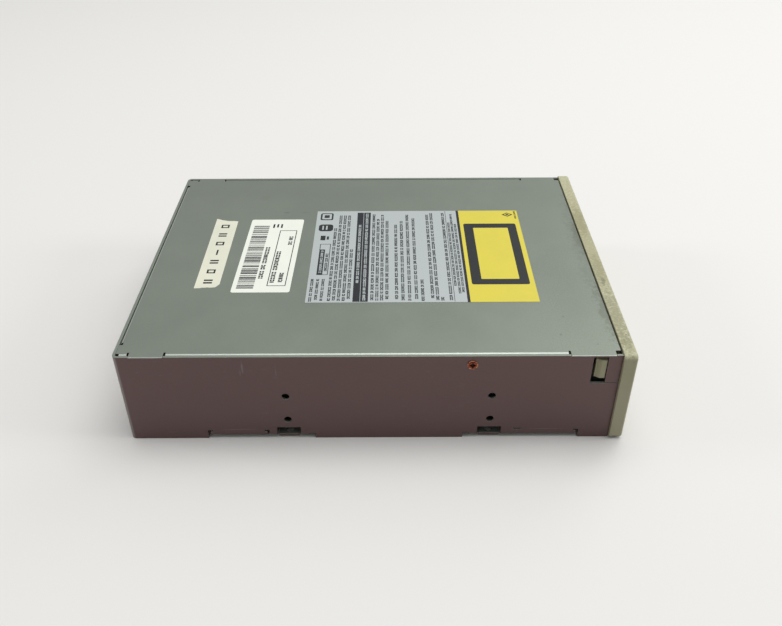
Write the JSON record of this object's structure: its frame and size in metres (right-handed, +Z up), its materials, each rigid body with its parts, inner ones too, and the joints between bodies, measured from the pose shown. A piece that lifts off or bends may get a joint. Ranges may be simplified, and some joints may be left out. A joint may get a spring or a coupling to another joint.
{
  "type": "optical disc drive",
  "caption": "Half-height drive for a computer bay: folded steel case with lid, ivory front with sliding disc tray, button and volume wheel, and a tilting pickup unit inside.",
  "frame": {"origin": "middle of the underside: centred on width and depth, on the plane it stands on", "axes": "+Z up, the bezel faces -Y, the connectors face +Y, +X is the right side seen from behind"},
  "size_m": [0.149, 0.1952, 0.0419],
  "materials": {
    "plated_steel": "zinc-plated sheet steel, faintly grey-green, satin",
    "cover_steel": "zinc-plated sheet steel, faintly grey-green, satin, scuffed",
    "bezel_plastic": "fine-textured ivory plastic, yellowed and grimy along its top",
    "button_plastic": "fine-textured ivory plastic",
    "tray_plastic": "moulded dark plastic",
    "frame_plastic": "moulded black plastic",
    "gear_plastic": "natural white gear plastic",
    "motor_steel": "drawn steel can",
    "shaft_steel": "ground steel",
    "soft_rubber": "black rubber",
    "cast_alloy": "die-cast alloy",
    "lens_glass": "coated clear lens",
    "board_green": "glass-fibre circuit board with green lacquer",
    "chip_black": "black moulded chip body",
    "port_black": "black connector plastic",
    "port_white": "white connector plastic",
    "pin_metal": "gold-flashed contact pins",
    "screw_copper": "copper-coloured plated screw",
    "screw_steel": "plated steel screw",
    "magnet": "sintered magnet",
    "ribbon": "flat ribbon cable",
    "light_pipe": "tinted clear light pipe",
    "tape_print": "cream printed tape label",
    "white_print": "white printed paper label",
    "silver_print": "silver and yellow printed foil label"
  },
  "bodies": {
    "root": {"case": "plated_steel", "bottom_plate": "plated_steel", "top_cover": "cover_steel", "bezel": "bezel_plastic", "volume_control": "chip_black", "phone_jack": "port_black", "eject_switch": "chip_black", "busy_light": "light_pipe", "front_board": "board_green", "loader_frame": "frame_plastic", "loading_motor": "motor_steel", "drive_belt": "soft_rubber", "limit_switch": "chip_black", "pivot_bushes": "soft_rubber", "clamp_bridge": "plated_steel", "main_board": "board_green", "servo_chip": "chip_black", "decoder_chip": "chip_black", "memory_chip": "chip_black", "capacitors": "chip_black", "data_header": "port_black", "data_pins": "pin_metal", "power_socket": "port_white", "power_pins": "pin_metal", "jumper_block": "port_black", "jumper_cap": "chip_black", "audio_socket": "port_white", "front_cable": "ribbon", "cover_screws": "screw_copper", "bottom_screws": "screw_steel", "board_screws": "screw_steel", "bridge_screws": "screw_steel", "tape_label": "tape_print", "white_label": "white_print", "rating_label": "silver_print"},
    "tray": {"tray": "tray_plastic", "tray_front": "bezel_plastic"},
    "drive_gear": {"drive_gear": "gear_plastic"},
    "pulley_gear": {"pulley_gear": "gear_plastic"},
    "motor_pulley": {"motor_pulley": "gear_plastic"},
    "eject_button": {"eject_button": "button_plastic"},
    "volume_wheel": {"volume_wheel": "chip_black"},
    "cam_slider": {"cam_slider": "gear_plastic"},
    "traverse": {"traverse_base": "frame_plastic", "spindle_motor": "motor_steel", "guide_shafts": "shaft_steel", "sled_motor": "motor_steel"},
    "spindle": {"turntable": "frame_plastic", "turntable_mat": "soft_rubber"},
    "pickup": {"pickup_body": "cast_alloy", "pickup_cover": "motor_steel"},
    "lens": {"lens_holder": "frame_plastic", "objective_lens": "lens_glass"},
    "sled_gear": {"sled_gear": "gear_plastic"},
    "sled_pinion": {"sled_pinion": "gear_plastic"},
    "clamper": {"clamper": "frame_plastic", "clamp_magnet": "magnet"}
  },
  "joints": [
    {"name": "tray_slide", "type": "slide", "parent": "root", "child": "tray", "axis": [0, -1, 0], "range_m": [0, 0.138]},
    {"name": "drive_gear_spin", "type": "hinge", "parent": "root", "child": "drive_gear", "pos_m": [-0.048, -0.072, 0.02], "axis": [0, 0, 1], "range_deg": [0, 880]},
    {"name": "pulley_gear_spin", "type": "hinge", "parent": "root", "child": "pulley_gear", "pos_m": [-0.0255, -0.072, 0.02], "axis": [0, 0, 1], "range_deg": [-1760, 0]},
    {"name": "motor_pulley_spin", "type": "hinge", "parent": "root", "child": "motor_pulley", "pos_m": [0.014, -0.074, 0.02], "axis": [0, 0, 1], "range_deg": [-5280, 0]},
    {"name": "eject_press", "type": "slide", "parent": "root", "child": "eject_button", "axis": [0, 1, 0], "range_m": [0, 0.0012], "stiffness_N_per_m": 300},
    {"name": "volume_turn", "type": "hinge", "parent": "root", "child": "volume_wheel", "pos_m": [-0.038, -0.089, 0.0102], "axis": [0, 0, 1], "range_deg": [0, 270]},
    {"name": "traverse_lift", "type": "hinge", "parent": "root", "child": "traverse", "pos_m": [0, 0.052, 0.0145], "axis": [1, 0, 0], "range_deg": [0, 2.42]},
    {"name": "cam_slide", "type": "slide", "parent": "root", "child": "cam_slider", "axis": [1, 0, 0], "range_m": [0, 0.0081]},
    {"name": "spindle_spin", "type": "hinge", "parent": "traverse", "child": "spindle", "pos_m": [0, -0.025, 0.02], "axis": [0, 0, 1], "continuous": true},
    {"name": "clamper_spin", "type": "hinge", "parent": "root", "child": "clamper", "pos_m": [0, -0.025, 0.032], "axis": [0, 0, 1], "continuous": true},
    {"name": "pickup_slide", "type": "slide", "parent": "traverse", "child": "pickup", "axis": [0, 1, 0], "range_m": [0, 0.035]},
    {"name": "sled_gear_spin", "type": "hinge", "parent": "traverse", "child": "sled_gear", "pos_m": [0.0389, 0.022, 0.014], "axis": [0, 0, 1], "range_deg": [-372, 0]},
    {"name": "sled_pinion_spin", "type": "hinge", "parent": "traverse", "child": "sled_pinion", "pos_m": [0.044, 0.00662, 0.014], "axis": [0, 0, 1], "range_deg": [0, 1302]},
    {"name": "lens_focus", "type": "slide", "parent": "pickup", "child": "lens", "axis": [0, 0, 1], "range_m": [-0.0004, 0.0004], "stiffness_N_per_m": 100}
  ],
  "couplings": [
    {"joint": "drive_gear_spin", "follows": "tray_slide", "rad_per_m": 111.11},
    {"joint": "pulley_gear_spin", "follows": "tray_slide", "rad_per_m": -222.22},
    {"joint": "motor_pulley_spin", "follows": "tray_slide", "rad_per_m": -666.67},
    {"joint": "cam_slide", "follows": "traverse_lift", "m_per_rad": 0.18976},
    {"joint": "clamper_spin", "follows": "spindle_spin", "ratio": 1},
    {"joint": "sled_gear_spin", "follows": "pickup_slide", "rad_per_m": -185.19},
    {"joint": "sled_pinion_spin", "follows": "pickup_slide", "rad_per_m": 648.15}
  ]
}
